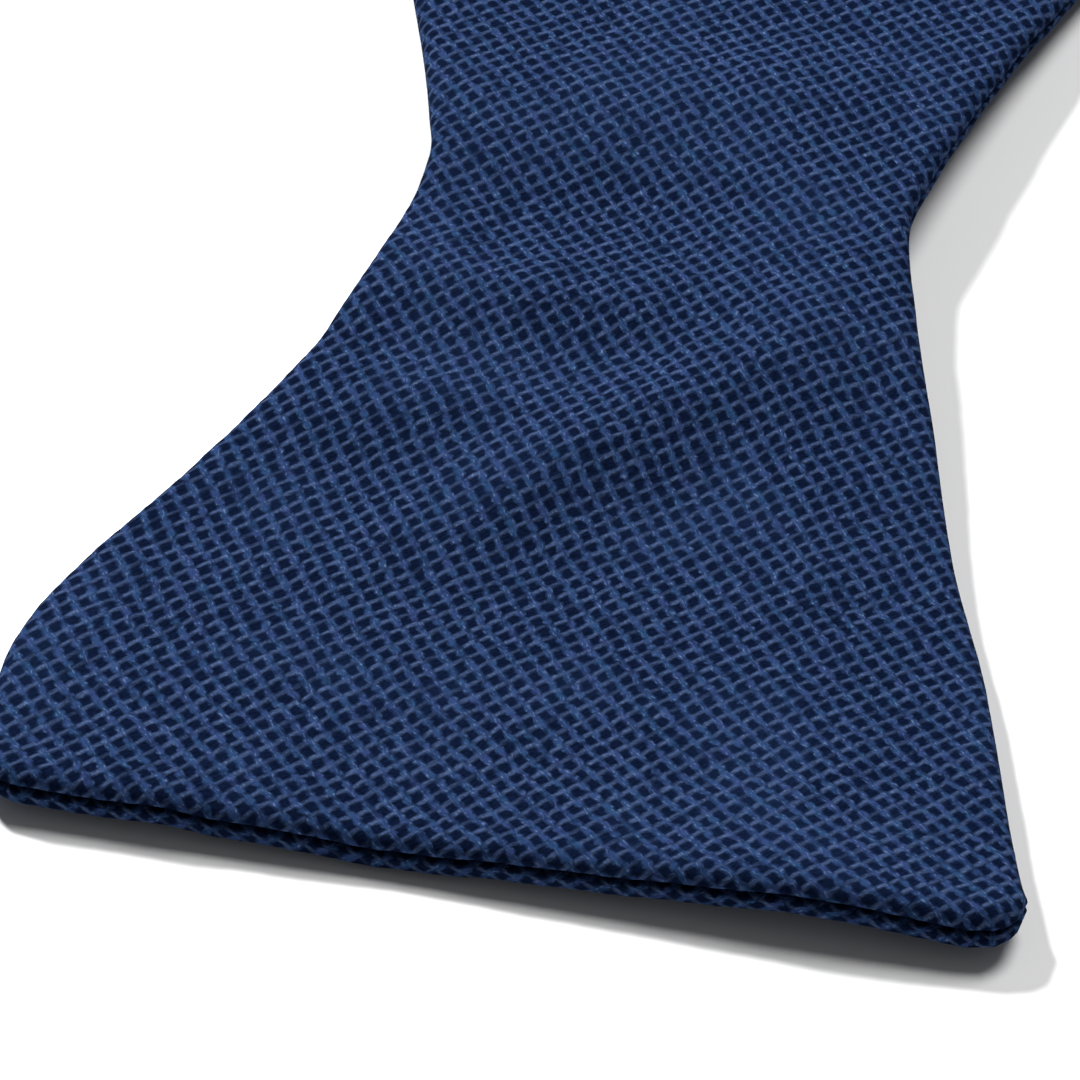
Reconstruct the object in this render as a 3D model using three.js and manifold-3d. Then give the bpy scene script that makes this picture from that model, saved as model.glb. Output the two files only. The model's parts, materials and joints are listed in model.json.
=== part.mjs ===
// An untied self-tie bow tie, laid down with its neckband hooked into a loop.
//
// Each half of the tie is a flat blade (square end, waist, round bulge, throat) that runs on
// into the neckband. The blades lie flat at the front. Behind the throat each band turns on
// edge and bends round to the back, where the adjuster joins the two halves.
// Half A lies at -X and half B is its mirror image at +X. Millimetres, +Z up.

import * as THREE from 'three';
import { mergeVertices } from 'three/addons/utils/BufferGeometryUtils.js';
import Module from 'manifold-3d';

const wasm = await Module();
wasm.setup();

// ---------------------------------------------------------------- driving dimensions

const bladeWidth = 66; // across the square end
const waistWidth = 32.2; // where the blade folds when the bow is tied
const bulgeWidth = 61.6;
const bandWidth = 19;
const waistAt = 58.5; // distances along the tie, from the square end
const bulgeAt = 118;
const throatAt = 190; // seam between blade and neckband
const neckLength = 420; // throat to throat, round the neck
const bulgeGap = 7; // between the two bulges as they lie
const splay = THREE.MathUtils.degToRad(11.7); // of each blade away from the Y axis

const clothThickness = 0.5;
const interliningThickness = 0.8;
const gap = 0.3; // kept between pieces that touch
const tieThickness = 2 * (clothThickness + gap) + interliningThickness;
const edgeWall = 1.2; // cloth turned in along each edge

const twistStart = 163; // the blade lies flat up to here
const twistEnd = 217; // and stands on edge from here
const frontBend = { radius: 27, heading: THREE.MathUtils.degToRad(72) };
const backBendRadius = 28;

const strapWidth = bandWidth - 2 * (edgeWall + gap); // fits between the band's turned edges
const metalRail = 1.6; // top and bottom rails of the slide, hook and eye
const metalHeight = 20;
const strapThickness = 1;
const strapInsert = 6; // length of strap, or of the eye's loop, sewn inside each band end
const barRadius = 1.1; // round bars that cloth or the hook bears on

// Places along the straight back of the loop, from its middle, +X towards half B.
const slideAt = -28;
const hookBarAt = 6;
const eyeNearBarAt = 23;
const eyeFarBarAt = 33;
const bandEndA = -39;
const bandEndB = 38;

// ---------------------------------------------------------------- the tie's own surface

// A smooth curve through [position, value] pairs that never swings past them.
function profile(points) {
  const slope = (i) =>
    (points[i + 1][1] - points[i][1]) / (points[i + 1][0] - points[i][0]);
  const tangent = (i) => {
    if (i === 0 || i === points.length - 1) return 0;
    const before = slope(i - 1);
    const after = slope(i);
    return before * after <= 0 ? 0 : (2 * before * after) / (before + after);
  };
  return (s) => {
    const last = points.length - 1;
    if (s <= points[0][0]) return points[0][1];
    if (s >= points[last][0]) return points[last][1];
    const i = points.findIndex((point) => point[0] > s) - 1;
    const span = points[i + 1][0] - points[i][0];
    const u = (s - points[i][0]) / span;
    return (
      points[i][1] * (2 * u ** 3 - 3 * u ** 2 + 1) +
      points[i + 1][1] * (3 * u ** 2 - 2 * u ** 3) +
      tangent(i) * span * (u ** 3 - 2 * u ** 2 + u) +
      tangent(i + 1) * span * (u ** 3 - u ** 2)
    );
  };
}

const halfWidthAt = profile([
  [0, bladeWidth / 2],
  [5, 31.8],
  [12, 30.8],
  [20, 28.4],
  [30, 24],
  [40, 20.3],
  [50, 17.5],
  [waistAt, waistWidth / 2],
  [63, 17],
  [76, 20.7],
  [90, 25.6],
  [104, 29.6],
  [bulgeAt, bulgeWidth / 2],
  [134, 28.6],
  [150, 23.8],
  [168, 16.4],
  [throatAt, 10],
  [205, bandWidth / 2],
]);

// Height of the underside above the table: the end and the waist arch up a little, and the
// band climbs towards the adjuster, whose metal is taller than the band is wide.
const liftAt = profile([
  [0, 1],
  [10, 0.6],
  [22, 0.4],
  [36, 1.2],
  [50, 2.8],
  [60, 3.2],
  [75, 2.6],
  [90, 1.1],
  [104, 0],
  [262, 0],
  [345, (metalHeight - bandWidth) / 2],
]);

// How far the sewn blade strays to the right of its straight centre line.
const swayAt = profile([
  [0, 0.9],
  [14, -1.3],
  [28, -0.5],
  [42, 0.6],
  [60, 0.1],
  [90, -0.6],
  [104, 0],
]);

const twistAt = profile([
  [twistStart, 0],
  [twistEnd, Math.PI / 2],
]);

// The tie's centre line in plan: straight, a bend outwards, straight, a bend round to the
// back, and straight to the middle of the back. Headings turn from +Y towards +X.
const halfLength = throatAt + neckLength / 2;
const startX =
  -bulgeGap / 2 - bulgeAt * Math.sin(splay) - (bulgeWidth / 2) * Math.cos(splay);
const outward = frontBend.heading;
const frontBendLength = frontBend.radius * (splay + outward);
const backBendLength = backBendRadius * (outward + Math.PI / 2);
const straightsLength = halfLength - twistEnd - frontBendLength - backBendLength;
const sideStraight =
  (startX +
    twistEnd * Math.sin(splay) +
    frontBend.radius * (Math.cos(outward) - Math.cos(splay)) +
    backBendRadius * Math.cos(outward) +
    straightsLength) /
  (1 + Math.sin(outward));
const centreLine = [
  { length: twistEnd, turn: 0 },
  { length: frontBendLength, turn: -1 / frontBend.radius },
  { length: sideStraight, turn: 0 },
  { length: backBendLength, turn: 1 / backBendRadius },
  { length: straightsLength - sideStraight, turn: 0 },
];

function planAt(s) {
  const place = { x: startX, y: 0, heading: splay };
  let left = s;
  centreLine.forEach(({ length, turn }, index) => {
    const isLast = index === centreLine.length - 1;
    const step = isLast ? left : Math.min(left, length);
    const next = place.heading + turn * step;
    if (turn === 0) {
      place.x += step * Math.sin(place.heading);
      place.y += step * Math.cos(place.heading);
    } else {
      place.x += (Math.cos(place.heading) - Math.cos(next)) / turn;
      place.y += (Math.sin(next) - Math.sin(place.heading)) / turn;
    }
    place.heading = next;
    left -= step;
  });
  return place;
}

// A point of half A: s along the tie, across its width, and out of its face.
function tiePoint(s, across, out) {
  const { x, y, heading } = planAt(s);
  const twist = twistAt(s);
  const right = new THREE.Vector3(Math.cos(heading), -Math.sin(heading), 0);
  const up = new THREE.Vector3(0, 0, 1);
  const width = right.clone().multiplyScalar(Math.cos(twist));
  width.addScaledVector(up, Math.sin(twist));
  const normal = up.clone().multiplyScalar(Math.cos(twist));
  normal.addScaledVector(right, -Math.sin(twist));
  const centreZ =
    liftAt(s) + halfWidthAt(s) * Math.sin(twist) + (tieThickness / 2) * Math.cos(twist);
  return new THREE.Vector3(x, y, centreZ)
    .addScaledVector(width, across + swayAt(s))
    .addScaledVector(normal, out);
}

// ---------------------------------------------------------------- solids

function toSolid(geometry) {
  const bare = geometry.clone();
  bare.deleteAttribute('normal');
  bare.deleteAttribute('uv');
  const merged = mergeVertices(bare, 1e-4);
  return new wasm.Manifold(
    new wasm.Mesh({
      numProp: 3,
      vertProperties: new Float32Array(merged.attributes.position.array),
      triVerts: new Uint32Array(merged.index.array),
    }),
  );
}

function toGeometry(solid) {
  const { vertProperties, triVerts } = solid.getMesh();
  const geometry = new THREE.BufferGeometry();
  geometry.setAttribute('position', new THREE.BufferAttribute(vertProperties, 3));
  geometry.setIndex(new THREE.BufferAttribute(triVerts, 1));
  geometry.computeVertexNormals();
  return geometry;
}

// Places along the tie from one to another, at the same steps for every layer, so that
// layers that lie on each other follow the same facets.
function placesBetween(from, to) {
  const step = 5;
  const shortest = 0.5;
  const first = Math.ceil((from + shortest) / step);
  const last = Math.floor((to - shortest) / step);
  const inner = Array.from({ length: last - first + 1 }, (_, i) => (first + i) * step);
  return [from, ...inner, to];
}

// A layer of half A from one place along it to another, between two distances out of its
// mid-plane. halfWidth gives the layer's own half width at each place.
function layer(from, to, low, high, halfWidth) {
  const places = placesBetween(from, to);
  const count = places.length - 1;
  const positions = [];
  places.forEach((s) => {
    const half = halfWidth(s);
    const corners = [
      [-half, low],
      [half, low],
      [half, high],
      [-half, high],
    ];
    corners.forEach(([across, out]) => positions.push(...tiePoint(s, across, out).toArray()));
  });
  const index = [0, 1, 2, 0, 2, 3];
  for (let i = 0; i < count; i += 1) {
    for (let k = 0; k < 4; k += 1) {
      const a = 4 * i + k;
      const b = 4 * i + ((k + 1) % 4);
      index.push(a, a + 4, b, b, a + 4, b + 4);
    }
  }
  const end = 4 * count;
  index.push(end, end + 2, end + 1, end, end + 3, end + 2);
  const geometry = new THREE.BufferGeometry();
  geometry.setAttribute('position', new THREE.Float32BufferAttribute(positions, 3));
  geometry.setIndex(index);
  return geometry;
}

// One of the two cloth panels: a flat layer with its long edges turned in towards the other
// panel. closedStart closes the square end of the blade in the same way.
function panel(from, to, side, closedStart = false) {
  const outer = tieThickness / 2;
  const inner = outer - clothThickness;
  const seam = gap / 2;
  const past = 1;
  const cavityStart = closedStart ? from + edgeWall : from - past;
  const inset = (s) => halfWidthAt(s) - edgeWall;
  const spans = side > 0 ? [seam, outer, -past, inner] : [-outer, -seam, -inner, past];
  const cloth = toSolid(layer(from, to, spans[0], spans[1], halfWidthAt));
  const hollow = toSolid(layer(cavityStart, to + past, spans[2], spans[3], inset));
  return toGeometry(cloth.subtract(hollow));
}

function interlining(from, to, closedStart = false) {
  const half = interliningThickness / 2;
  const start = closedStart ? from + edgeWall + gap : from;
  return layer(start, to, -half, half, (s) => halfWidthAt(s) - edgeWall - gap);
}

// The mirror image of a geometry in the plane x = 0.
function mirrored(geometry) {
  const copy = geometry.clone().scale(-1, 1, 1);
  const { array } = copy.index;
  for (let i = 0; i < array.length; i += 3) {
    [array[i], array[i + 1]] = [array[i + 1], array[i]];
  }
  copy.computeVertexNormals();
  return copy;
}

// The closed outline of a strip of even thickness along a line of [x, y] points.
function strip(line, thickness) {
  const points = line.map(([x, y]) => new THREE.Vector2(x, y));
  const sideOf = (sign) =>
    points.map((point, i) => {
      const before = points[Math.max(i - 1, 0)];
      const after = points[Math.min(i + 1, points.length - 1)];
      const inward = point.clone().sub(before).normalize();
      const onward = after.clone().sub(point).normalize();
      const along = inward.clone().add(onward).normalize();
      const square = new THREE.Vector2(-along.y, along.x);
      const reference = i === 0 ? onward : inward;
      const stretch = 1 / Math.abs(along.dot(reference));
      return point.clone().addScaledVector(square, (sign * thickness * stretch) / 2);
    });
  return new THREE.Shape([...sideOf(-1), ...sideOf(1).reverse()]);
}

// Points round part of a circle, angles in degrees from +X towards +Y.
function arc(x, y, radius, from, to, steps) {
  return Array.from({ length: steps + 1 }, (_, i) => {
    const angle = THREE.MathUtils.degToRad(from + ((to - from) * i) / steps);
    return [x + radius * Math.cos(angle), y + radius * Math.sin(angle)];
  });
}

// A shape in plan drawn up into an upright solid, centred on z = 0 unless z says otherwise.
function upright(shape, height, z = 0) {
  const geometry = new THREE.ExtrudeGeometry(shape, { depth: height, bevelEnabled: false });
  return geometry.translate(0, 0, z - height / 2);
}

function plate(width, depth, height, x, y, z = 0) {
  return new THREE.BoxGeometry(width, depth, height).translate(x, y, z);
}

function uprightBar(x, y) {
  return upright(new THREE.Shape(arc(0, 0, barRadius, 15, 345, 11).map(toVector)), metalHeight)
    .translate(x, y, 0);
}

function toVector([x, y]) {
  return new THREE.Vector2(x, y);
}

function joined(...geometries) {
  return toGeometry(geometries.map(toSolid).reduce((sum, next) => sum.add(next)));
}

// ---------------------------------------------------------------- materials

const cloth = { color: 0x243556, roughness: 0.9, metalness: 0 };
const canvas = { color: 0xd9d4c6, roughness: 1, metalness: 0 };
const tape = { color: 0x1a2238, roughness: 0.8, metalness: 0 };
const nickel = { color: 0xc4c6c8, roughness: 0.25, metalness: 1 };
const thread = { color: 0x161c2e, roughness: 0.7, metalness: 0 };
const labelSatin = { color: 0xe6e1d3, roughness: 0.6, metalness: 0 };

function named(name, geometry, look) {
  const mesh = new THREE.Mesh(geometry, new THREE.MeshStandardMaterial(look));
  mesh.name = name;
  return mesh;
}

// ---------------------------------------------------------------- the two halves

function half(letter, bandEnd) {
  const bandTo = halfLength - Math.abs(bandEnd);
  const place = (geometry) => (letter === 'a' ? geometry : mirrored(geometry));
  const stretches = [
    { part: 'tip', from: 0, to: waistAt - gap / 2, closed: true, sides: ['face', 'back'] },
    { part: 'bow', from: waistAt + gap / 2, to: throatAt - gap / 2, sides: ['face', 'back'] },
    { part: 'band', from: throatAt + gap / 2, to: bandTo, sides: ['outer', 'inner'] },
  ];
  const group = new THREE.Group();
  stretches.forEach(({ part, from, to, closed, sides }) => {
    const face = place(panel(from, to, 1, closed));
    const back = place(panel(from, to, -1, closed));
    const liningTo = part === 'band' ? to - strapInsert - gap : to;
    const lining = place(interlining(from, liningTo, closed));
    group.add(named(`${part}_${sides[0]}_${letter}`, face, cloth));
    group.add(named(`${part}_${sides[1]}_${letter}`, back, cloth));
    group.add(named(`${part}_interlining_${letter}`, lining, canvas));
  });
  return group;
}

// A blank label sewn flat on the neck side of a band.
function neckLabel(name, letter, from, length, width) {
  const thickness = 0.4;
  const top = -tieThickness / 2 - gap;
  const flat = layer(from, from + length, top - thickness, top, () => width / 2);
  return named(name, letter === 'a' ? flat : mirrored(flat), labelSatin);
}

// ---------------------------------------------------------------- the adjuster

// Distances out from the strap's lower run, which lies on the band's mid-plane.
const tailOut = strapThickness + gap; // strap end turned under the slide's centre bar
const slideBarDepth = 1.2;
const slideBarWidth = 2;
const slideBarOut = tailOut + strapThickness / 2 + gap + slideBarDepth / 2;
const upperOut = slideBarOut + slideBarDepth / 2 + gap + strapThickness / 2;
const hookBarOut = upperOut / 2;
const hookThickness = 1.2;
const hookBend = 1.9; // radius of the tongue's bend, on its mid-line
const eyeOut = hookBarOut - hookBend;
const hairpinLeg = 3;

function lowerStrap() {
  const from = bandEndA - strapInsert;
  const to = hookBarAt - hairpinLeg - gap;
  return plate(to - from, strapThickness, strapWidth, (from + to) / 2, 0);
}

function upperStrap() {
  const from = slideAt + gap;
  const to = hookBarAt - hairpinLeg - gap;
  return plate(to - from, strapThickness, strapWidth, (from + to) / 2, upperOut);
}

// The strap where it turns round the hook's bar.
function strapHairpin() {
  const turn = arc(hookBarAt, hookBarOut, hookBarOut, -90, 90, 10);
  const start = hookBarAt - hairpinLeg;
  return upright(strip([[start, 0], ...turn, [start, upperOut]], strapThickness), strapWidth);
}

// The strap's sewn end, turned round the slide's centre bar and back under it.
function strapTail() {
  const middle = (upperOut + tailOut) / 2;
  const radius = (upperOut - tailOut) / 2;
  const turn = arc(slideAt - slideBarWidth * 0.4, middle, radius, 90, 270, 10);
  const tailEnd = slideAt + 4.5;
  const line = [[slideAt, upperOut], ...turn, [tailEnd, tailOut]];
  return upright(strip(line, strapThickness), strapWidth);
}

// The slide: end bars on the neck side of the strap, a centre bar on its outer side, and
// cranked rails above and below that join them.
function slide() {
  const endBarAt = 6.1;
  const endBarWidth = 1.8;
  const endBarOut = -(strapThickness / 2 + gap + slideBarDepth / 2);
  const shoulder = 4.4;
  const crown = 1.9;
  const rail = strip(
    [
      [-endBarAt - endBarWidth / 2, endBarOut],
      [-shoulder, endBarOut],
      [-crown, slideBarOut],
      [crown, slideBarOut],
      [shoulder, endBarOut],
      [endBarAt + endBarWidth / 2, endBarOut],
    ],
    slideBarDepth,
  );
  const railZ = (metalHeight - metalRail) / 2;
  return joined(
    upright(rail, metalRail, railZ),
    upright(rail, metalRail, -railZ),
    plate(endBarWidth, slideBarDepth, metalHeight, -endBarAt, endBarOut),
    plate(endBarWidth, slideBarDepth, metalHeight, endBarAt, endBarOut),
    plate(slideBarWidth, slideBarDepth, metalHeight, 0, slideBarOut),
  ).translate(slideAt, 0, 0);
}

// The hook: a ring for the strap, and a tongue that bends round the eye's near bar.
function hook() {
  const ringEnd = hookBarAt + 8;
  const tongueWidth = 8;
  const lip = 3;
  const railZ = (metalHeight - metalRail) / 2;
  const ringLength = ringEnd - hookBarAt;
  const ringMiddle = (ringEnd + hookBarAt) / 2;
  const tongue = strip(
    [
      [ringEnd, hookBarOut],
      ...arc(eyeNearBarAt, eyeOut, hookBend, 90, -90, 10),
      [eyeNearBarAt - lip, eyeOut - hookBend],
    ],
    hookThickness,
  );
  return joined(
    uprightBar(hookBarAt, hookBarOut),
    plate(ringLength, 2 * barRadius, metalRail, ringMiddle, hookBarOut, railZ),
    plate(ringLength, 2 * barRadius, metalRail, ringMiddle, hookBarOut, -railZ),
    plate(2, 2 * barRadius, metalHeight, ringEnd, hookBarOut),
    upright(tongue, tongueWidth),
  );
}

// The eye: a plain ring, hooked at one bar and sewn to half B's band at the other.
function eye() {
  const railZ = (metalHeight - metalRail) / 2;
  const length = eyeFarBarAt - eyeNearBarAt;
  const middle = (eyeFarBarAt + eyeNearBarAt) / 2;
  return joined(
    uprightBar(eyeNearBarAt, eyeOut),
    uprightBar(eyeFarBarAt, eyeOut),
    plate(length, 2 * barRadius, metalRail, middle, eyeOut, railZ),
    plate(length, 2 * barRadius, metalRail, middle, eyeOut, -railZ),
  );
}

// The cloth loop that holds the eye: round its far bar, then flat into the end of band B.
function eyeLoop() {
  const radius = barRadius + gap + strapThickness / 2;
  const root = bandEndB + strapInsert;
  const meet = bandEndB - 0.6;
  const halfTongue = strapThickness / 2;
  const bend = (r) => arc(eyeFarBarAt, eyeOut, r, 60, 300, 12).map(toVector);
  const outline = new THREE.Shape([
    ...bend(radius + halfTongue),
    new THREE.Vector2(meet, -halfTongue),
    new THREE.Vector2(root, -halfTongue),
    new THREE.Vector2(root, halfTongue),
    new THREE.Vector2(meet, halfTongue),
  ]);
  const hole = new THREE.Path([
    ...bend(radius - halfTongue),
    new THREE.Vector2(meet - 1.6, 0),
  ]);
  outline.holes.push(hole);
  return upright(outline, strapWidth);
}

// A bar tack: one thread sewn to and fro, upright, on the outer side of what it holds.
function barTack(x, out) {
  const threadWidth = 0.35;
  const reach = 1.1;
  const pitch = 0.9;
  const turns = 15;
  const line = Array.from({ length: turns + 1 }, (_, i) => [
    i % 2 ? reach : -reach,
    (i - turns / 2) * pitch,
  ]);
  return upright(strip(line, threadWidth), threadWidth)
    .rotateX(Math.PI / 2)
    .translate(x, out + gap + threadWidth / 2, 0);
}

function adjuster() {
  const group = new THREE.Group();
  const bandFace = tieThickness / 2;
  group.add(
    named('adjuster_strap_lower', lowerStrap(), tape),
    named('adjuster_strap_loop', strapHairpin(), tape),
    named('adjuster_strap_upper', upperStrap(), tape),
    named('adjuster_strap_tail', strapTail(), tape),
    named('slide_adjuster', slide(), nickel),
    named('hook', hook(), nickel),
    named('eye', eye(), nickel),
    named('eye_loop', eyeLoop(), tape),
    named('band_end_tack_a', barTack(bandEndA - 2.5, bandFace), thread),
    named('band_end_tack_b', barTack(bandEndB + 2.5, bandFace), thread),
    named('slide_tack', barTack(slideAt + 3.4, upperOut + strapThickness / 2), thread),
  );
  const back = planAt(halfLength);
  group.position.set(0, back.y, metalHeight / 2);
  return group;
}

// ---------------------------------------------------------------- the whole tie

const bowTie = new THREE.Group();
bowTie.add(half('a', bandEndA));
bowTie.add(half('b', bandEndB));
bowTie.add(adjuster());
bowTie.add(neckLabel('woven_label', 'a', 286, 40, 12));
bowTie.add(neckLabel('care_label', 'b', 300, 20, 10));

// The origin is on the table, under the middle of the tie's bounding box.
const box = new THREE.Box3().setFromObject(bowTie, true);
bowTie.position.y = -(box.min.y + box.max.y) / 2;

export default bowTie;
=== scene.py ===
"""An untied self-tie bow tie on a white table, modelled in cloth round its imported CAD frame."""

import json
import math

import bpy
import numpy as np
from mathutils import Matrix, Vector


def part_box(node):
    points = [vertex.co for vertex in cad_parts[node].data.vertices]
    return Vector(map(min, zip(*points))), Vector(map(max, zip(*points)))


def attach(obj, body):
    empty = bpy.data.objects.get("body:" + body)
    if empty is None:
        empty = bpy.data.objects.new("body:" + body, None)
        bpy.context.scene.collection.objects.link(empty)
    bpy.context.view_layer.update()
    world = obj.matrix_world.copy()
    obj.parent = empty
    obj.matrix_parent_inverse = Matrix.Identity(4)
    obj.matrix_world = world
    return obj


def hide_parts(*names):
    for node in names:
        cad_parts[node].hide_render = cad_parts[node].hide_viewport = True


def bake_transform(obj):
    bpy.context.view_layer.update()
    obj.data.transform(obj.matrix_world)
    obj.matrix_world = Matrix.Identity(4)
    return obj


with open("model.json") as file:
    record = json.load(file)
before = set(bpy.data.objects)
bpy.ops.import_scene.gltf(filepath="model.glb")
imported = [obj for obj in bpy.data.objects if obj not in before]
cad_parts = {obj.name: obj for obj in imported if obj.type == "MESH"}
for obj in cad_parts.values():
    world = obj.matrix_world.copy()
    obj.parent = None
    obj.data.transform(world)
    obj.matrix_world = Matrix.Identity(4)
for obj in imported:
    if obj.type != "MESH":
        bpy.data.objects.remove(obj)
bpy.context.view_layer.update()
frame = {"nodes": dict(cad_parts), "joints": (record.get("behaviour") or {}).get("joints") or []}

MM = 0.001
JOINTS = {joint["name"]: joint for joint in frame["joints"]}

# ------------------------------------------------------------------ driving dimensions, mm

WAIST_AT = 58.5  # distances along the tie, from the square end of a blade
THROAT_AT = 190.0
NECK_LENGTH = 420.0  # from throat to throat, round the neck
HALF_LENGTH = THROAT_AT + NECK_LENGTH / 2
TWIST_START, TWIST_END = 163.0, 217.0  # the blade lies flat up to here, the band is on edge from here
FRONT_BEND_RADIUS, FRONT_BEND_HEADING = 27.0, math.radians(72)
BACK_BEND_RADIUS = 28.0
TIE_THICKNESS = 2.4

# The tie's outline, as (along, half the width), then the height of its underside above the
# table and how far its middle strays to the side.
HALF_WIDTH = [
    (0, 33), (5, 31.8), (12, 30.8), (20, 28.4), (30, 24), (40, 20.3), (50, 17.5),
    (WAIST_AT, 16.1), (63, 17), (76, 20.7), (90, 25.6), (104, 29.6), (118, 30.8),
    (134, 28.6), (150, 23.8), (168, 16.4), (THROAT_AT, 10), (205, 9.5),
]
LIFT = [
    (0, 1), (10, 0.6), (22, 0.4), (36, 1.2), (50, 2.8), (60, 3.2), (75, 2.6), (90, 1.1),
    (104, 0), (262, 0), (345, 0.5),
]
SWAY = [(0, 0.3), (14, -1.3), (28, -0.5), (42, 0.6), (60, 0.1), (90, -0.6), (104, 0)]

# Soft ridges and dips of the pressed cloth: where the middle of each is (along, across), how
# far its line turns from straight across, its half width and half length, and its height.
RIPPLES = [
    (0, -6, 90, 8, 9, -0.8),
    (0, 20, 90, 8, 9, 0.7),
    (1.5, 10, 0, 3.5, 26, 0.25),
    (36, 1.5, 45, 4, 14, 1.8),
    (36.5, -11, 10, 3.5, 9, 0.9),
    (46.5, -6, 3, 3, 12, 0.7),
    (55, -6, 8, 4.5, 13, -1.0),
    (68, 0, 10, 5, 14, 0.8),
    (40, 12, 103, 5, 24, 0.8),
    (84, 6, 15, 6, 16, 0.6),
    (108, -8, -20, 8, 18, 0.7),
    (132, 5, 25, 8, 16, 0.6),
    (150, -3, -15, 6, 12, 0.5),
]

CLOTH = 0.35  # thickness of one layer of cloth
PUFF = 1.25  # from the tie's mid-plane to the outside of its cloth
PUCKER = 0.015  # height of each of the fine waves that the sewing and pressing leave
PUCKER_COUNT = 26
PUCKER_LENGTHS = (3.2, 10)
RIB_RELIEF = 0.06  # how far the light ribs stand up from the dark squares
CORNER_RADIUS = 3.4  # of the blade's square corners, in plan
EDGE_ROLL = 1.3  # how far in from the edge the cloth starts to roll over
ROLL_STEPS = 8
SEAM_OUT = 0.05  # the seam round the edge lies this far out of the mid-plane
SEAM_DEPTH = 0.8  # of the groove that the seam lies in
SEAM_GAP = 0.08  # between the edges of the face's cloth and the back's
TURNED_IN = (1.3, 2.4)  # where the turned-in edge leaves the seam and where it ends, from outside
LINING_INSET = 2.6  # of the canvas from the outline
SEAM_ALLOWANCE = 4.0
LEDGE = 0.6  # how far the back's cloth stands out past the face's at the square end
THREAD_PITCH = (1.11, 1.015)  # between the cloth's light threads, each way
BIAS = math.radians(45 + 3.7)  # of the threads to the length of the tie
SKEW = 0.004  # of the threads near the square end, for each mm along and across from its middle
SKEW_MIDDLE = (25, 8)
SKEW_REACH = 60

# Share of the tie's puff that is lost at a seam across it, and how far that reaches.
THROAT_PINCH = (0.45, 0.8)
END_PINCH = (0.25, 0.7)
SEAM_ROWS = np.array([0, 0.25, 0.5, 0.9, 1.4])  # distances of the mesh's rows next to such a seam
SEAM_CLEAR = 2.0  # and from where they are evenly spaced
FOLD_REACH = 4.0  # a distance to each side of the waist's fold line

STRAP_INSERT = 6  # how far the strap and the eye's loop are sewn into the end of a band
TAPE_THICKNESS = 0.9

# The half that each label is on, where it starts along the tie, its length and its width.
LABELS = {"woven_label": ("a", 286.0, 40.0, 12.0), "care_label": ("b", 300.0, 20.0, 10.0)}

UP = np.array([0.0, 0.0, 1.0])

# ------------------------------------------------------------------ the tie's own surface


def smooth_profile(points, at):
    """A smooth curve through (position, value) points that never swings past them."""
    xs, ys = np.array(points, float).T
    slopes = np.diff(ys) / np.diff(xs)
    before, after = slopes[:-1], slopes[1:]
    same_way = before * after > 0
    total = np.where(same_way, before + after, 1)
    tangents = np.zeros(len(xs))
    tangents[1:-1] = np.where(same_way, 2 * before * after / total, 0)
    at = np.clip(at, xs[0], xs[-1])
    i = np.clip(np.searchsorted(xs, at, side="right") - 1, 0, len(xs) - 2)
    span = xs[i + 1] - xs[i]
    u = (at - xs[i]) / span
    return (
        ys[i] * (2 * u**3 - 3 * u**2 + 1)
        + ys[i + 1] * (3 * u**2 - 2 * u**3)
        + tangents[i] * span * (u**3 - 2 * u**2 + u)
        + tangents[i + 1] * span * (u**3 - u**2)
    )


# The waist's fold line gives the place and direction of half A's blade.
FOLD = Vector(JOINTS["fold_a"]["pos_m"]) / MM
RIGHT = -Vector(JOINTS["fold_a"]["axis"]).normalized()
SPLAY = math.atan2(-RIGHT.y, RIGHT.x)
ALONG = Vector((math.sin(SPLAY), math.cos(SPLAY), 0))
START = FOLD - ALONG * WAIST_AT


def centre_line():
    """Half A's centre line in plan, as close steps of (s, x, y, heading). It is straight, but
    for the front and the back bend, and ends in the middle of the back."""
    front = FRONT_BEND_RADIUS * (SPLAY + FRONT_BEND_HEADING)
    back = BACK_BEND_RADIUS * (FRONT_BEND_HEADING + math.pi / 2)
    straights = HALF_LENGTH - TWIST_END - front - back
    side = (
        START.x
        + TWIST_END * math.sin(SPLAY)
        + FRONT_BEND_RADIUS * (math.cos(FRONT_BEND_HEADING) - math.cos(SPLAY))
        + BACK_BEND_RADIUS * math.cos(FRONT_BEND_HEADING)
        + straights
    ) / (1 + math.sin(FRONT_BEND_HEADING))
    lengths = [TWIST_END, front, side, back, straights - side]
    headings = [SPLAY, SPLAY, -FRONT_BEND_HEADING, -FRONT_BEND_HEADING, math.pi / 2, math.pi / 2]
    step = 0.1
    s = np.arange(0, HALF_LENGTH, step)
    heading = np.interp(s, np.cumsum([0, *lengths]), headings)
    middle = (heading[:-1] + heading[1:]) / 2
    x = START.x + np.concatenate([[0], np.cumsum(np.sin(middle) * step)])
    y = START.y + np.concatenate([[0], np.cumsum(np.cos(middle) * step)])
    return s, x, y, heading


LINE = centre_line()


def half_width(s):
    return smooth_profile(HALF_WIDTH, s)


def twist_at(s):
    return smooth_profile([(TWIST_START, 0), (TWIST_END, math.pi / 2)], s)


def pucker_waves():
    """Fine waves of the cloth in random directions: (wave number along, across, phase)."""
    random = np.random.default_rng(8)
    waves = []
    for _ in range(PUCKER_COUNT):
        number = 2 * math.pi / random.uniform(*PUCKER_LENGTHS)
        turn = random.uniform(0, math.pi)
        phase = random.uniform(0, 6.3)
        waves.append((number * math.cos(turn), number * math.sin(turn), phase))
    return waves


PUCKERS = pucker_waves()


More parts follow.
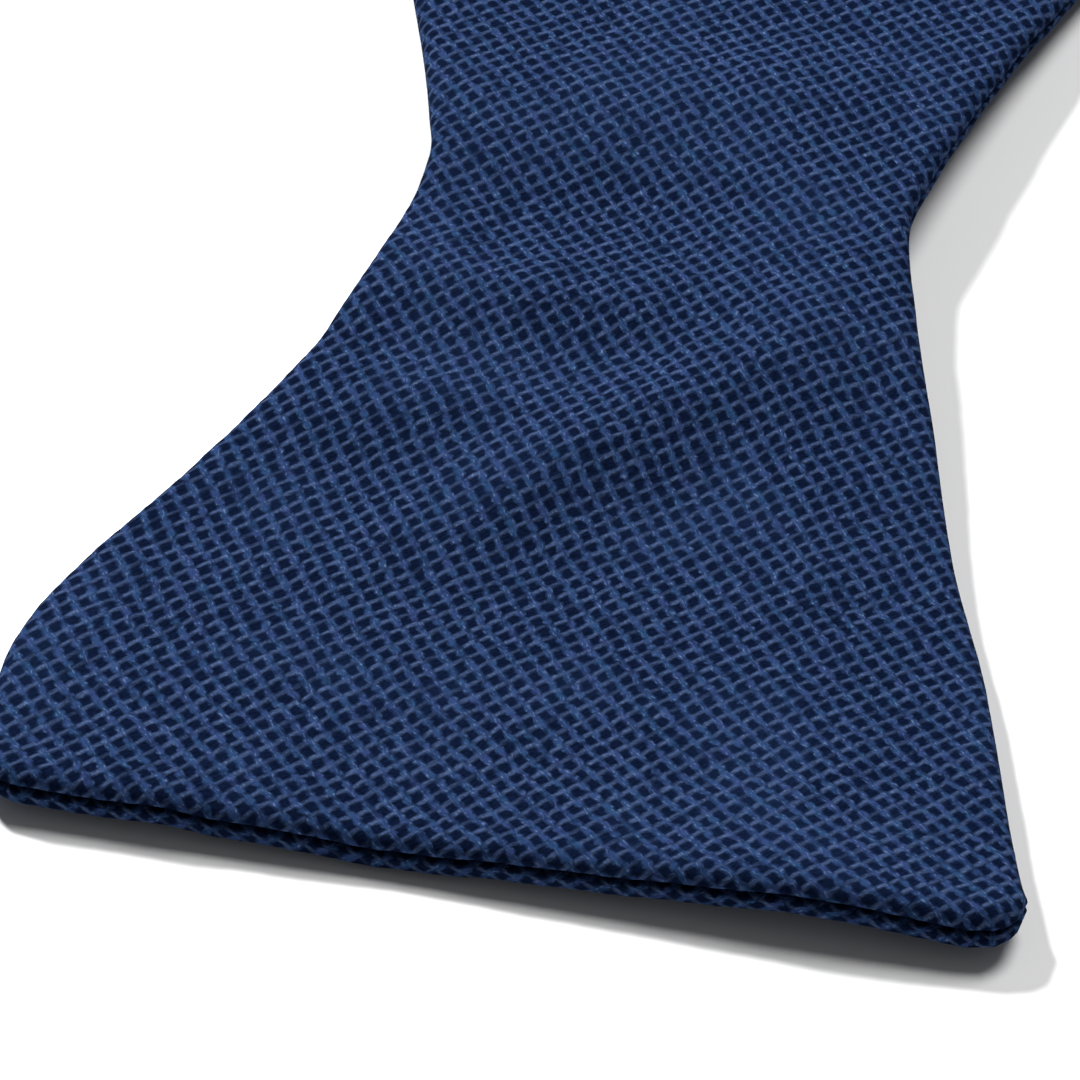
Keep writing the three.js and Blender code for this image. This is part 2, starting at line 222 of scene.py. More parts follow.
def ripple(s, across):
    """The height that the cloth's ridges and dips add, which fades where the tie twists."""
    height = np.zeros_like(s)
    for number_along, number_across, phase in PUCKERS:
        height += PUCKER * np.sin(number_along * s + number_across * across + phase)
    for middle, side, turn, half_across, half_along, rise in RIPPLES:
        cos, sin = math.cos(math.radians(turn)), math.sin(math.radians(turn))
        off = (s - middle) * cos - (across - side) * sin
        on = (s - middle) * sin + (across - side) * cos
        height += rise * np.exp(-((off / half_across) ** 2) - (on / half_along) ** 2)
    return height * np.cos(twist_at(s))


def tie_points(s, across, out):
    """Points of half A in mm: s along the tie, across its width, and out of its face."""
    x, y, heading = (np.interp(s, LINE[0], values) for values in LINE[1:])
    twist = twist_at(s)
    cos, sin = np.cos(twist), np.sin(twist)
    height = smooth_profile(LIFT, s) + half_width(s) * sin + TIE_THICKNESS / 2 * cos
    height = height + ripple(s, across)
    right = np.stack([np.cos(heading), -np.sin(heading), 0 * s], -1)
    width = right * cos[..., None] + UP * sin[..., None]
    normal = UP * cos[..., None] - right * sin[..., None]
    across = across + smooth_profile(SWAY, s)
    return np.stack([x, y, height], -1) + width * across[..., None] + normal * out[..., None]


# ------------------------------------------------------------------ meshes


def mesh_object(name, points, faces, uv=None):
    """A new smooth object from points in mm, faces and, for each point, its uv."""
    mesh = bpy.data.meshes.new(name)
    mesh.from_pydata((np.asarray(points) * MM).tolist(), [], faces)
    if uv is not None:
        corner = np.zeros(len(mesh.loops), np.int32)
        mesh.loops.foreach_get("vertex_index", corner)
        layer = mesh.uv_layers.new(name="cloth")
        layer.data.foreach_set("uv", np.asarray(uv, np.float32)[corner].ravel())
    mesh.polygons.foreach_set("use_smooth", [True] * len(mesh.polygons))
    mesh.update()
    piece = bpy.data.objects.new(name, mesh)
    bpy.context.scene.collection.objects.link(piece)
    return piece


def sheet_solid(name, points, uv, thickness):
    """A closed sheet: the grid of points is its outside, and its inside is thickness below."""
    rows, columns = points.shape[:2]
    normal = np.cross(np.gradient(points, axis=1), np.gradient(points, axis=0))
    normal /= np.maximum(np.linalg.norm(normal, axis=-1, keepdims=True), 1e-9)
    inner = points - normal * thickness
    index = np.arange(rows * columns).reshape(rows, columns)
    top = np.stack([index[:-1, :-1], index[:-1, 1:], index[1:, 1:], index[1:, :-1]], -1)
    top = top.reshape(-1, 4)
    under = top[:, ::-1] + rows * columns
    rim = np.concatenate([index[0], index[1:, -1], index[-1, -2::-1], index[-2:0:-1, 0]])
    after = np.roll(rim, -1)
    side = np.stack([after, rim, rim + rows * columns, after + rows * columns], -1)
    both = np.concatenate([points.reshape(-1, 3), inner.reshape(-1, 3)])
    faces = np.concatenate([top, under, side]).tolist()
    return mesh_object(name, both, faces, np.tile(uv.reshape(-1, 2), (2, 1)))


def swept(name, lines, section, across, uv_across):
    """One mesh of closed bars: the section, (out, up) points, swept along each line. across is
    the direction that the section's up follows."""
    points, faces, uv = [], [], []
    count = len(section)
    for line in lines:
        line = np.asarray(line, float)
        along = np.gradient(line, axis=0)
        along /= np.linalg.norm(along, axis=1, keepdims=True)
        up = across - along * (along @ across)[:, None]
        up /= np.linalg.norm(up, axis=1, keepdims=True)
        out = np.cross(up, along)
        steps = np.linalg.norm(np.diff(line, axis=0), axis=1)
        reach = np.concatenate([[0], np.cumsum(steps)])
        first = len(points)
        for i, place in enumerate(line):
            for k, (away, height) in enumerate(section):
                points.append(place + out[i] * away + up[i] * height)
                uv.append((reach[i], uv_across[k]))
        for i in range(len(line) - 1):
            for k in range(count):
                a, b = first + i * count + k, first + i * count + (k + 1) % count
                faces.append((a, b, b + count, a + count))
        last = first + (len(line) - 1) * count
        faces.append(tuple(range(first + count - 1, first - 1, -1)))
        faces.append(tuple(range(last, last + count)))
    return mesh_object(name, points, faces, uv)


def round_section(radius, sides=8):
    """A round bar's section, and for each point its angle."""
    angles = [2 * math.pi * k / sides for k in range(sides)]
    return [(radius * math.cos(a), radius * math.sin(a)) for a in angles], angles


def tape_section(width, thickness):
    """A flat tape's section, half as thick along its edges, and for each point its height."""
    edge = 0.35
    half, thin = width / 2, thickness / 2
    heights = np.concatenate([[-half], np.linspace(-half + edge, half - edge, 9), [half]])
    side = [(thin * (0.5 if abs(h) == half else 1.0), h) for h in heights]
    section = side + [(-away, h) for away, h in reversed(side)]
    return section, [h for _, h in section]


def smoothed(line, step):
    """Points at even steps of about step along a line of (x, y, z) corners."""
    line = np.asarray(line, float)
    reach = np.concatenate([[0], np.cumsum(np.linalg.norm(np.diff(line, axis=0), axis=1))])
    at = np.linspace(0, reach[-1], max(int(reach[-1] / step), 2) + 1)
    return np.stack([np.interp(at, reach, line[:, k]) for k in range(3)], -1)


def mirror(piece):
    """Turns a piece of half A into the same piece of half B."""
    mesh = piece.data
    places = np.zeros(len(mesh.vertices) * 3, np.float32)
    mesh.vertices.foreach_get("co", places)
    places[0::3] *= -1
    mesh.vertices.foreach_set("co", places)
    mesh.flip_normals()
    mesh.update()


# ------------------------------------------------------------------ materials


class Graph:
    """A material's nodes, built by short calls."""

    def __init__(self, name):
        self.material = bpy.data.materials.new(name)
        self.material.use_nodes = True
        self.tree = self.material.node_tree
        self.shader = self.tree.nodes["Principled BSDF"]

    def node(self, kind, **settings):
        made = self.tree.nodes.new(kind)
        for key, value in settings.items():
            setattr(made, key, value)
        return made

    def put(self, socket, value):
        if isinstance(value, bpy.types.NodeSocket):
            self.tree.links.new(value, socket)
        else:
            socket.default_value = value

    def math(self, operation, *values):
        made = self.node("ShaderNodeMath", operation=operation)
        for socket, value in zip(made.inputs, values):
            self.put(socket, value)
        return made.outputs[0]

    def product(self, *values):
        total = values[0]
        for value in values[1:]:
            total = self.math("MULTIPLY", total, value)
        return total

    def wave(self, value, length):
        return self.math("SINE", self.product(value, 2 * math.pi / length))

    def ramp(self, value, low, high, start=0.0, end=1.0):
        """start where value is low, end where it is high, and a soft change between."""
        made = self.node("ShaderNodeMapRange", interpolation_type="SMOOTHSTEP")
        for socket, item in zip(made.inputs, (value, low, high, start, end)):
            self.put(socket, item)
        return made.outputs[0]

    def noise(self, vector, scale, detail=2.0):
        made = self.node("ShaderNodeTexNoise")
        self.put(made.inputs["Vector"], vector)
        self.put(made.inputs["Scale"], scale)
        self.put(made.inputs["Detail"], detail)
        return made.outputs[0]

    def vector(self, x, y, z=0.0):
        made = self.node("ShaderNodeCombineXYZ")
        for socket, value in zip(made.inputs, (x, y, z)):
            self.put(socket, value)
        return made.outputs[0]

    def uv(self):
        split = self.node("ShaderNodeSeparateXYZ")
        self.put(split.inputs[0], self.node("ShaderNodeUVMap", uv_map="cloth").outputs[0])
        return split.outputs[0], split.outputs[1]

    def place(self):
        return self.node("ShaderNodeTexCoord").outputs["Object"]

    def mix(self, share, first, second):
        made = self.node("ShaderNodeMix", data_type="RGBA")
        self.put(made.inputs["Factor"], share)
        self.put(made.inputs[6], first)
        self.put(made.inputs[7], second)
        return made.outputs[2]

    def bump(self, height, distance):
        made = self.node("ShaderNodeBump")
        self.put(made.inputs["Height"], height)
        self.put(made.inputs["Distance"], distance)
        self.put(self.shader.inputs["Normal"], made.outputs[0])

    def set(self, **values):
        for key, value in values.items():
            self.put(self.shader.inputs[key.replace("_", " ")], value)
        return self.material


def mini_check():
    """Dark squares between light threads: long ribs one way and short dashes the other."""
    g = Graph("tie_cloth")
    count_u, count_v = g.uv()
    plain = g.vector(count_u, count_v)
    shifted = g.vector(g.math("ADD", count_u, 37.0), count_v)

    # No thread runs dead straight: each count drifts by a part of the pitch.
    def wander(count, place):
        slow = g.product(g.noise(place, 0.3, 3.0), 0.5)
        fine = g.product(g.noise(place, 1.6, 1.0), 0.16)
        return g.math("ADD", count, g.math("ADD", slow, fine))

    u = wander(count_u, plain)
    v = wander(count_v, shifted)

    # Distances from the middle of a square: ribs lie at its sides, dashes along its ends.
    in_square = g.math("SUBTRACT", g.math("FRACT", u), 0.5)
    off_rib = g.math("ABSOLUTE", in_square)
    tilted = g.math("ADD", v, g.product(in_square, -0.12))
    off_dash = g.math("ABSOLUTE", g.math("SUBTRACT", g.math("FRACT", tilted), 0.5))

    # Noise that is steady within a square, along a thread, or along a thread's fibres.
    square_number = g.math("FLOOR", u)
    dash_number = g.math("FLOOR", g.math("ADD", tilted, 0.5))
    square = g.vector(g.product(square_number, 5.3), g.product(dash_number, 7.1))
    dash_drift = g.noise(square, 1.0)
    knots = g.noise(g.vector(g.product(u, 1.3), g.product(v, 1.9)), 1.0, 1.0)
    fibres_u = g.noise(g.vector(g.product(u, 8.0), g.product(v, 2.6)), 1.0)
    fibres_v = g.noise(g.vector(g.product(u, 2.6), g.product(v, 8.0)), 1.0)

    # Ribs swell and shrink, and each dash reaches a different way across its square.
    rib_edge = g.ramp(knots, 0.3, 0.7, 0.23, 0.13)
    rib = g.ramp(off_rib, rib_edge, g.math("ADD", rib_edge, 0.26))
    dash_reach = g.math("SUBTRACT", in_square, g.ramp(dash_drift, 0.3, 0.7, -0.1, 0.2))
    dash_end = g.ramp(g.math("ABSOLUTE", dash_reach), 0.58, 0.22)
    dash = g.product(g.ramp(off_dash, 0.25, 0.47), dash_end)
    rib_light = g.product(rib, g.ramp(knots, 0.3, 0.72, 0.5, 1.3),
                          g.ramp(fibres_u, 0.3, 0.7, 0.6, 1.3))
    dash_light = g.product(dash, g.ramp(dash_drift, 0.25, 0.65, 0.2, 1.1),
                           g.ramp(fibres_v, 0.3, 0.7, 0.6, 1.3))
    cloudy = g.ramp(g.noise(plain, 0.09), 0.3, 0.7, -0.06, 0.08)

    black_navy, navy = (0.0011, 0.0034, 0.0125, 1), (0.0031, 0.0078, 0.029, 1)
    violet_blue, sea_blue = (0.0215, 0.0365, 0.115, 1), (0.0145, 0.043, 0.108, 1)
    # The paler of the two blues on the next line is the colour of the painted highlight on the
    # fibres.
    light_blue, painted_glint_blue = (0.041, 0.068, 0.15, 1), (0.13, 0.19, 0.3, 1)
    ground = g.mix(g.ramp(fibres_v, 0.3, 0.75), black_navy, navy)
    tint = g.ramp(g.noise(shifted, 0.7), 0.2, 0.8)
    rib_colour = g.mix(tint, violet_blue, sea_blue)
    colour = g.mix(g.math("ADD", rib_light, cloudy), ground, rib_colour)
    colour = g.mix(g.product(dash_light, 0.8), colour, light_blue)
    # Painted highlight: where a light thread's fibres run high, pale blue is mixed into the colour to
    # stand for light glinting off them.
    painted_glint = g.product(g.math("MAXIMUM", rib_light, dash_light), g.ramp(fibres_u, 0.56, 0.74))
    colour = g.mix(g.product(painted_glint, 0.4), colour, painted_glint_blue)

    height = g.math("MAXIMUM", rib, g.product(dash, 0.8))
    height = g.math("ADD", height, g.product(g.math("ADD", fibres_u, fibres_v), 0.4))
    g.bump(height, 0.09 * MM)
    return g.set(Base_Color=colour, Roughness=1.0, Specular_IOR_Level=0.02)


def ribbed_tape():
    """Grosgrain: ribs across the tape, with fine warp threads over them."""
    g = Graph("strap_tape")
    along, across = g.uv()
    rib = g.wave(along, 0.8)
    weft = g.wave(across, 0.35)
    height = g.math("ADD", rib, g.product(weft, 0.25))
    colour = g.mix(g.ramp(height, -1.2, 1.2), (0.002, 0.005, 0.017, 1), (0.011, 0.021, 0.062, 1))
    g.bump(height, 0.07 * MM)
    return g.set(Base_Color=colour, Roughness=0.85, Specular_IOR_Level=0.05)


def canvas():
    """Unbleached canvas in plain weave."""
    g = Graph("interlining")
    along, across = g.uv()
    pitch = 0.7
    weave = g.product(g.wave(along, pitch), g.wave(across, pitch))
    colour = g.mix(g.ramp(weave, -1.0, 1.0), (0.5, 0.45, 0.36, 1), (0.72, 0.68, 0.58, 1))
    g.bump(weave, 0.08 * MM)
    return g.set(Base_Color=colour, Roughness=0.95)


def nickel():
    """Polished plating with fine wear."""
    g = Graph("nickel")
    worn = g.noise(g.place(), 420.0, 4.0)
    fine = g.noise(g.place(), 2600.0, 3.0)
    g.bump(g.math("ADD", worn, g.product(fine, 0.3)), 0.012 * MM)
    colour = g.mix(g.ramp(worn, 0.35, 0.7), (0.45, 0.45, 0.46, 1), (0.4, 0.398, 0.39, 1))
    return g.set(Base_Color=colour, Metallic=1.0, Roughness=g.ramp(worn, 0.3, 0.75, 0.2, 0.3))


def sewing_thread():
    """Thread with its plies twisted round each other."""
    g = Graph("thread")
    along, around = g.uv()
    ply = g.math("SINE", g.math("ADD", g.product(along, 2 * math.pi / 0.6), around))
    colour = g.mix(g.ramp(ply, -1.0, 1.0), (0.006, 0.011, 0.03, 1), (0.026, 0.044, 0.11, 1))
    g.bump(ply, 0.04 * MM)
    return g.set(Base_Color=colour, Roughness=0.7, Specular_IOR_Level=0.1)


def label_satin():
    """Cream woven ribbon, a little soiled."""
    g = Graph("label_satin")
    along, across = g.uv()
    warp = g.wave(across, 0.24)
    weft = g.wave(along, 0.36)
    height = g.math("ADD", warp, g.product(weft, 0.4))
    soiled = g.noise(g.place(), 90.0, 3.0)
    tone = g.math("ADD", g.ramp(height, -1.4, 1.4, 0.0, 0.7), g.ramp(soiled, 0.3, 0.7, 0.0, 0.3))
    colour = g.mix(tone, (0.55, 0.51, 0.42, 1), (0.8, 0.77, 0.68, 1))
    g.bump(height, 0.02 * MM)
    return g.set(Base_Color=colour, Roughness=0.5, Specular_IOR_Level=0.4)


LOOKS = {
    "tie_cloth": mini_check(),
    "strap_tape": ribbed_tape(),
    "interlining": canvas(),
    "nickel": nickel(),
    "thread": sewing_thread(),
    "label_satin": label_satin(),
}


def dress(piece, slot):
    piece.data.materials.clear()
    piece.data.materials.append(LOOKS[slot])


# ------------------------------------------------------------------ camera, light and table

FOCAL_LENGTH = 205.2  # mm, on a 36 mm sensor
VIEW_ELEVATION = math.radians(45.3)
VIEW_DISTANCE = 383.7
AIM = (26.6, -1.9, 3.0)  # the place looked at: along the blade, across it, above the table


def make_camera():
    data = bpy.data.cameras.new("camera")
    data.lens = FOCAL_LENGTH
    data.clip_start = 0.01
    camera = bpy.data.objects.new("camera", data)
    bpy.context.scene.collection.objects.link(camera)
    aim = START + ALONG * AIM[0] + RIGHT * AIM[1]
    aim.z = AIM[2]
    back = Vector((0, -math.cos(VIEW_ELEVATION), math.sin(VIEW_ELEVATION)))
    camera.location = (aim + back * VIEW_DISTANCE) * MM
    camera.rotation_euler = (-back).to_track_quat("-Z", "Y").to_euler()
    bpy.context.scene.camera = camera


def soft_light(name, azimuth, elevation, distance, size, power):
    """A round light, size and distance in metres: azimuth in degrees from +Y towards +X,
    elevation above the table."""
    data = bpy.data.lights.new(name, "AREA")
    data.shape = "DISK"
    data.size = size
    data.energy = power
    light = bpy.data.objects.new(name, data)
    bpy.context.scene.collection.objects.link(light)
    azimuth, elevation = math.radians(azimuth), math.radians(elevation)
    level = math.cos(elevation)
    away = Vector((math.sin(azimuth) * level, math.cos(azimuth) * level, math.sin(elevation)))
    light.location = away * distance
    light.rotation_euler = away.to_track_quat("Z", "Y").to_euler()


def make_studio():
    reach = 3000
    below = -0.05
    corners = [(-reach, -reach), (reach, -reach), (reach, reach), (-reach, reach)]
    floor = mesh_object("floor", [(x, y, below) for x, y in corners], [(0, 1, 2, 3)])
    g = Graph("table")
    grain = g.noise(g.place(), 30.0)
    white = g.mix(grain, (0.86, 0.86, 0.86, 1), (0.9, 0.9, 0.9, 1))
    floor.data.materials.append(g.set(Base_Color=white, Roughness=0.9, Specular_IOR_Level=0.1))
    world = bpy.data.worlds.new("world")
    world.use_nodes = True
    sky = world.node_tree.nodes["Background"]
    sky.inputs["Color"].default_value = (1, 1, 1, 1)
    sky.inputs["Strength"].default_value = 0.12
    bpy.context.scene.world = world
    soft_light("window", azimuth=-46, elevation=46, distance=1.4, size=0.2, power=30)
    soft_light("ceiling", azimuth=48, elevation=66, distance=1.3, size=0.7, power=14)
    bpy.context.scene.view_settings.view_transform = "Standard"


make_camera()
make_studio()

# ------------------------------------------------------------------ the sewn tie


def quarter(centre, radii, first, last, steps=5):
    """Points round part of an ellipse, as (distance in, distance out), angles in degrees."""
    angles = np.radians(np.linspace(first, last, steps))
    inset = centre[0] - radii[0] * np.cos(angles)
    return np.stack([inset, centre[1] + radii[1] * np.sin(angles)], -1)


def edge_section(side):
    """A panel's edge in section, from its flat round the edge to the end of its turned-in
    allowance: (distance in from the outline, distance out of the mid-plane)."""
    curl = 0.3
    groove = SEAM_OUT if side > 0 else SEAM_OUT - SEAM_GAP
    middle = groove + side * curl
    puff = PUFF - side * middle
    roll = quarter((EDGE_ROLL, middle), (EDGE_ROLL, puff), 90 * side, 0, ROLL_STEPS)
    under = quarter((SEAM_DEPTH, middle), (SEAM_DEPTH, curl), 0, -90 * side)[1:]
    allowance = [(inset, groove) for inset in TURNED_IN]
    return np.concatenate([[(CORNER_RADIUS, side * PUFF)], roll, under, allowance])


def cloth_uv(s, across):
    """Thread counts each way at a place on the flat cloth, skewed a little near the end."""
    skew = SKEW * (s - SKEW_MIDDLE[0]) * (across - SKEW_MIDDLE[1])
    skew = skew * np.exp(-((s / SKEW_REACH) ** 2))
    u = s * math.cos(BIAS) + across * math.sin(BIAS) + skew
    v = s * math.sin(BIAS) - across * math.cos(BIAS)
    return np.stack([u / THREAD_PITCH[0], v / THREAD_PITCH[1]], -1)


def panel(name, side, rows, columns, square_end, ease):
    """One cloth of the tie between the first and last of rows, with its long edges rolled
    over and turned in. With square_end it turns in round the square end as well. side is 1
    for the face and -1 for the back. ease gives, for places along the tie, what share of its
    puff the cloth has. No point goes below the table."""
    section = edge_section(side)
    steps = np.linalg.norm(np.diff(section, axis=0), axis=1)
    past = np.concatenate([[0], np.cumsum(steps)])
    turned = past[:0:-1]

    base_s = rows
    past_end = np.zeros(len(rows))
    if square_end:
        base_s = np.concatenate([np.full(len(turned), rows[0]), rows])
        past_end = np.concatenate([turned, past_end])
    past_side = np.concatenate([turned, np.zeros(columns), turned[::-1]])
    spread = np.linspace(-1, 1, columns)
    spread = np.concatenate([-np.ones(len(turned)), spread, np.ones(len(turned))])

    base_s, spread = np.meshgrid(base_s, spread, indexing="ij")
    past_end, past_side = np.meshgrid(past_end, past_side, indexing="ij")
    ring = np.maximum(past_end, past_side)
    turn = np.arctan2(past_side, past_end)
    reach = CORNER_RADIUS - np.interp(ring, past, section[:, 0])
    out = np.interp(ring, past, section[:, 1])
    end_share = np.where(past_end > 0, np.cos(turn), 0)
    side_share = np.where(past_side > 0, np.sin(turn), 0) * spread
    base_across = (half_width(base_s) - CORNER_RADIUS) * spread

    stretch = 1 - side * LEDGE / 2 / CORNER_RADIUS
    s = base_s - reach * end_share * stretch
    across = base_across + reach * side_share
    uv = cloth_uv(base_s - ring * end_share, base_across + ring * side_share)
    fade = np.clip(1 - (ring - past[ROLL_STEPS]), 0, 1)
    ribs = RIB_RELIEF / 2 * np.cos(2 * math.pi * uv[..., 0]) * fade
    points = tie_points(s, across, out * ease(s) + side * ribs)
    points[..., 2] = np.maximum(points[..., 2], 0)
    if side < 0:
        points, uv = points[:, ::-1], uv[:, ::-1]
    return sheet_solid(name, points, uv, CLOTH)


def pinch(distance, share, reach):
    """The share of the tie's puff that is lost at a distance from a seam across it."""
    return share * np.exp(-distance / reach)


def blade_ease(s):
    return 1 - pinch(THROAT_AT - s, *THROAT_PINCH)


def place(piece, letter, slot, replaced, crosses_waist=False):
    """Puts a piece made as half A's on its own half and gives it its material. A piece that stays on
    one side of the waist is attached to its half's body; one that crosses the waist is only fixed
    where it lies.
    """
    if letter == "b":
        mirror(piece)
    dress(piece, slot)
    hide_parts(*replaced)
    if not crosses_waist:
        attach(piece, f"half_{letter}")
        return
    ahead, behind = FOLD + ALONG * FOLD_REACH, FOLD - ALONG * FOLD_REACH
    if letter == "b":
        ahead.x, behind.x = -ahead.x, -behind.x
    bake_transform(piece)


def lay_out(first, last, allowance):
    """Works out, at steps between first and last, the width of the flat cloth that a panel of the tie
    is cut from, with an allowance along each long edge. The result is not kept."""
    s = np.linspace(first, last, 400)
    cut = 2 * (half_width(s) + allowance)


def lining(name, first, last, square_end):
    """The canvas inside the tie, from edge to edge between the turned-in allowances."""
    thickness = 0.7
    start = first + LINING_INSET if square_end else first
    rows = np.append(np.arange(start, last, 2.0), last)
    s, spread = np.meshgrid(rows, np.linspace(-1, 1, 13), indexing="ij")
    across = spread * (half_width(s) - LINING_INSET)
    points = tie_points(s, across, np.full_like(s, thickness / 2))
    return sheet_solid(name, points, np.stack([s, across], -1), thickness)


def make_blade(letter):
    """The two cloths of a blade and the canvas between them, from square end to throat."""
    inside = lining(f"blade_lining_{letter}", 0, THROAT_AT, True)
    replaced = [f"tip_interlining_{letter}", f"bow_interlining_{letter}"]
    place(inside, letter, "interlining", replaced, crosses_waist=True)
    lay_out(0, THROAT_AT, -LINING_INSET)
    fine_to = 76
    last_even = THROAT_AT - SEAM_CLEAR
    fine = np.arange(CORNER_RADIUS, fine_to, 0.5)
    coarse = np.arange(fine_to, last_even, 1.3)
    rows = np.concatenate([fine, coarse, [last_even], (THROAT_AT - SEAM_ROWS)[::-1]])
    for word, side in (("face", 1), ("back", -1)):
        cloth = panel(f"blade_{word}_{letter}", side, rows, 118, True, blade_ease)
        replaced = [f"tip_{word}_{letter}", f"bow_{word}_{letter}"]
        place(cloth, letter, "tie_cloth", replaced, crosses_waist=True)
        lay_out(0, THROAT_AT, SEAM_ALLOWANCE)


def make_band(letter, end):
    """The two cloths of a neckband half and the canvas between them. The canvas stops short
    of what is sewn into the band's end."""
    canvas_end = end - STRAP_INSERT - 0.5

    def ease(s):
        return 1 - pinch(s - THROAT_AT, *THROAT_PINCH) - pinch(end - s, *END_PINCH)

    inside = lining(f"band_lining_{letter}", THROAT_AT, canvas_end, False)
    place(inside, letter, "interlining", [f"band_interlining_{letter}"])
    lay_out(THROAT_AT, canvas_end, -LINING_INSET)
    middle = np.arange(THROAT_AT + SEAM_CLEAR, end - SEAM_CLEAR, 1.1)
    rows = np.concatenate([THROAT_AT + SEAM_ROWS, middle, (end - SEAM_ROWS)[::-1]])
    for word, side in (("outer", 1), ("inner", -1)):
        cloth = panel(f"band_{word}_{letter}_cloth", side, rows, 22, False, ease)
        place(cloth, letter, "tie_cloth", [f"band_{word}_{letter}"])
        lay_out(THROAT_AT, end, SEAM_ALLOWANCE)


BAND_END = {
    "a": HALF_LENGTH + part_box("adjuster_strap_lower")[0].x / MM + STRAP_INSERT,
    "b": HALF_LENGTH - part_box("eye_loop")[1].x / MM + STRAP_INSERT,
}
for half in "ab":
    make_blade(half)
    make_band(half, BAND_END[half])

# ------------------------------------------------------------------ labels


def make_label(node, letter, first, length, width):
    """A blank woven label on the neck side of a band, with its sewn ends pressed flat."""
    thickness, clearance, fold = 0.25, 0.3, 3.0
    belly_height, belly_start = 0.18, 2.5
    s, across = np.meshgrid(np.linspace(first, first + length, 41),
                            np.linspace(-width / 2, width / 2, 15), indexing="ij")
    from_end = np.minimum(s - first, first + length - s)
    belly = belly_height * np.sin(math.pi * (across / width + 0.5))
    belly = belly * (1 - np.exp(-from_end / belly_start))
    points = tie_points(s, across, -(PUFF + clearance + belly))
    points, uv = points[:, ::-1], np.stack([s, across], -1)[:, ::-1]
    label = sheet_solid(f"{node}_satin", points, uv, thickness)
    place(label, letter, "label_satin", [node])

    stitch, pitch, inset = 1.3, 1.9, 1.0
    sunk, rise, radius = 0.2, 0.22, 0.09
    places = np.arange(-width / 2 + inset, width / 2 - inset, pitch)
    lines = []
    for row in (first + inset, first + length - inset):
        for start in places:
            over = np.linspace(0, 1, 7)
            height = PUFF + sunk + rise * np.sin(math.pi * over)
            lines.append(tie_points(np.full(7, row), start + stitch * over, -height))
    section, around = round_section(radius, 6)
    slant = np.ones(3)
    stitches = swept(f"{node}_stitches", lines, section, slant, around)
    if letter == "b":
        mirror(stitches)
    dress(stitches, "thread")
    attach(stitches, f"half_{letter}")


for label_node, layout in LABELS.items():
    make_label(label_node, *layout)

# ------------------------------------------------------------------ the adjuster


def box_mm(node):
    low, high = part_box(node)
    return Vector(low) / MM, Vector(high) / MM


def bend(centre, radius, first, last, steps=14):
    """Points round an upright bend, angles in degrees from +X towards +Y."""
    angles = np.radians(np.linspace(first, last, steps))
    x = centre.x + radius * np.cos(angles)
    y = centre.y + radius * np.sin(angles)
    return [(a, b, centre.z) for a, b in zip(x, y)]


lower_low, lower_high = box_mm("adjuster_strap_lower")
upper_low, upper_high = box_mm("adjuster_strap_upper")
tail_low, tail_high = box_mm("adjuster_strap_tail")
joint_x = box_mm("adjuster_strap_loop")[0].x  # where the two runs meet the turn round the hook
eye_loop_low, eye_loop_high = box_mm("eye_loop")
STRAP_WIDTH = lower_high.z - lower_low.z
MID_HEIGHT = (lower_high.z + lower_low.z) / 2
LOWER_Y = (lower_low.y + lower_high.y) / 2
UPPER_Y = (upper_low.y + upper_high.y) / 2
HOOK_BAR = Vector(JOINTS["hook_swivel"]["pos_m"]) / MM
EYE_BAR = Vector(JOINTS["eye_swivel"]["pos_m"]) / MM
TAPE_SECTION = tape_section(STRAP_WIDTH, TAPE_THICKNESS)


def tape(name, node, corners):
    """One stretch of tape on edge, along a line of corners."""
    line = smoothed(corners, 0.45)
    piece = swept(name, [line], TAPE_SECTION[0], UP, TAPE_SECTION[1])
    dress(piece, "strap_tape")
    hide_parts(node)
    return piece


def upright_point(x, y):
    return (x, y, MID_HEIGHT)


lower_tape = tape("strap_lower_run", "adjuster_strap_lower",
                  [upright_point(lower_low.x, LOWER_Y), upright_point(joint_x, LOWER_Y)])
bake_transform(lower_tape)

upper_tape = tape("strap_upper_run", "adjuster_strap_upper",
                  [upright_point(upper_low.x, UPPER_Y), upright_point(joint_x, UPPER_Y)])
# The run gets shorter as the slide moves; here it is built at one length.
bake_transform(upper_tape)

turn_radius = (UPPER_Y - LOWER_Y) / 2
hairpin = bend(Vector((HOOK_BAR.x, HOOK_BAR.y, MID_HEIGHT)), turn_radius, -90, 90)
loop_tape = tape("strap_loop", "adjuster_strap_loop",
                 [upright_point(joint_x, LOWER_Y), *hairpin, upright_point(joint_x, UPPER_Y)])
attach(loop_tape, "strap_turn")

tail_clear = 0.05
tail_y = tail_low.y + TAPE_THICKNESS / 2 + tail_clear
tail_radius = (UPPER_Y - tail_y) / 2
tail_x = tail_low.x + TAPE_THICKNESS / 2 + tail_clear + tail_radius
tail_turn = Vector((tail_x, (UPPER_Y + tail_y) / 2, MID_HEIGHT))
tail_tape = tape("strap_tail", "adjuster_strap_tail",
                 [upright_point(upper_low.x, UPPER_Y), *bend(tail_turn, tail_radius, 90, 270),
                  upright_point(tail_high.x, tail_y)])
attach(tail_tape, "slide")

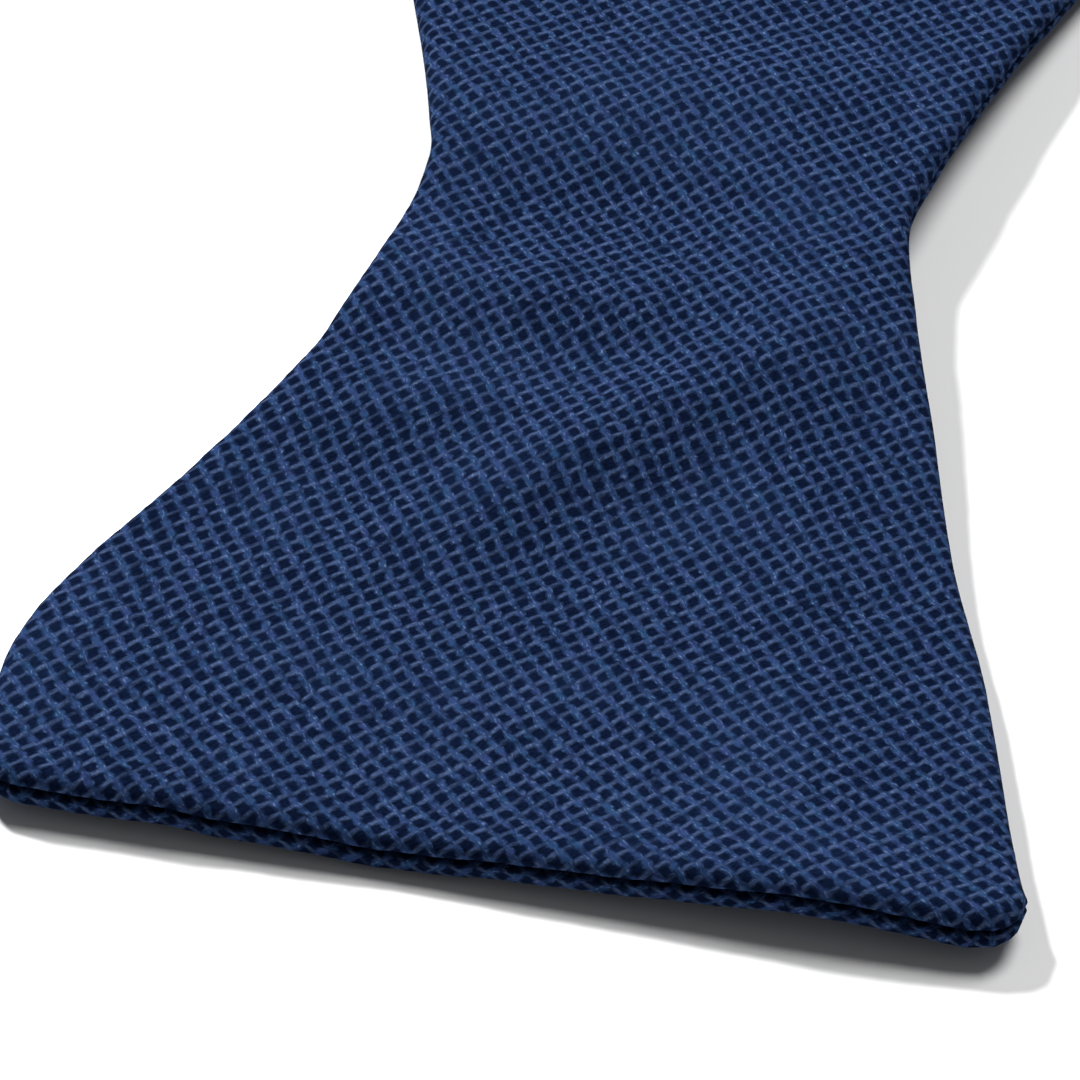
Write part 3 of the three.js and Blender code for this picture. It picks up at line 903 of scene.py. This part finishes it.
loop_out = 0.43  # of each of the loop's two runs from the middle of the band
loop_radius = EYE_BAR.x - eye_loop_low.x - TAPE_THICKNESS / 2
mouth_x = EYE_BAR.x + 4.4  # where the two runs come together
eye_turn = Vector((EYE_BAR.x, EYE_BAR.y, MID_HEIGHT))
eye_tape = tape("eye_loop_tape", "eye_loop",
                [upright_point(eye_loop_high.x, LOWER_Y + loop_out),
                 upright_point(mouth_x, LOWER_Y + loop_out),
                 *bend(eye_turn, loop_radius, 60, 300),
                 upright_point(mouth_x, LOWER_Y - loop_out),
                 upright_point(eye_loop_high.x, LOWER_Y - loop_out)])
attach(eye_tape, "half_b")


def bar_tack(node, body):
    """One thread sewn to and fro across what it holds, pulled down at each needle hole."""
    radius, turns = 0.19, 15
    sunk, rise = 0.3, 0.35
    low, high = box_mm(node)
    line = []
    for i in range(turns):
        ends = (high.x - radius, low.x + radius) if i % 2 else (low.x + radius, high.x - radius)
        for share in np.linspace(0, 1, 8, endpoint=False):
            x = ends[0] + (ends[1] - ends[0]) * share
            z = low.z + radius + (high.z - low.z - 2 * radius) * (i + share) / turns
            y = (low.y + high.y) / 2 - sunk + rise * math.sin(math.pi * share) ** 0.6
            line.append((x, y, z))
    section, around = round_section(radius)
    outward = np.array([0.0, 1.0, 0.0])
    piece = swept(f"{node}_thread", [line], section, outward, around)
    dress(piece, "thread")
    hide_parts(node)
    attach(piece, body)


bar_tack("band_end_tack_a", "half_a")
bar_tack("band_end_tack_b", "half_b")
bar_tack("slide_tack", "slide")


def polish(node):
    """Rounds the edges of a metal piece and gives it its plating."""
    piece = frame["nodes"][node]
    weld = piece.modifiers.new("weld", "WELD")
    weld.merge_threshold = 0.01 * MM
    bevel = piece.modifiers.new("bevel", "BEVEL")
    bevel.width = 0.3 * MM
    bevel.segments = 3
    bevel.limit_method = "ANGLE"
    bevel.angle_limit = math.radians(50)
    piece.data.polygons.foreach_set("use_smooth", [True] * len(piece.data.polygons))
    piece.data.materials.clear()
    piece.data.materials.append(LOOKS["nickel"])


for metal in ("slide_adjuster", "hook", "eye"):
    polish(metal)
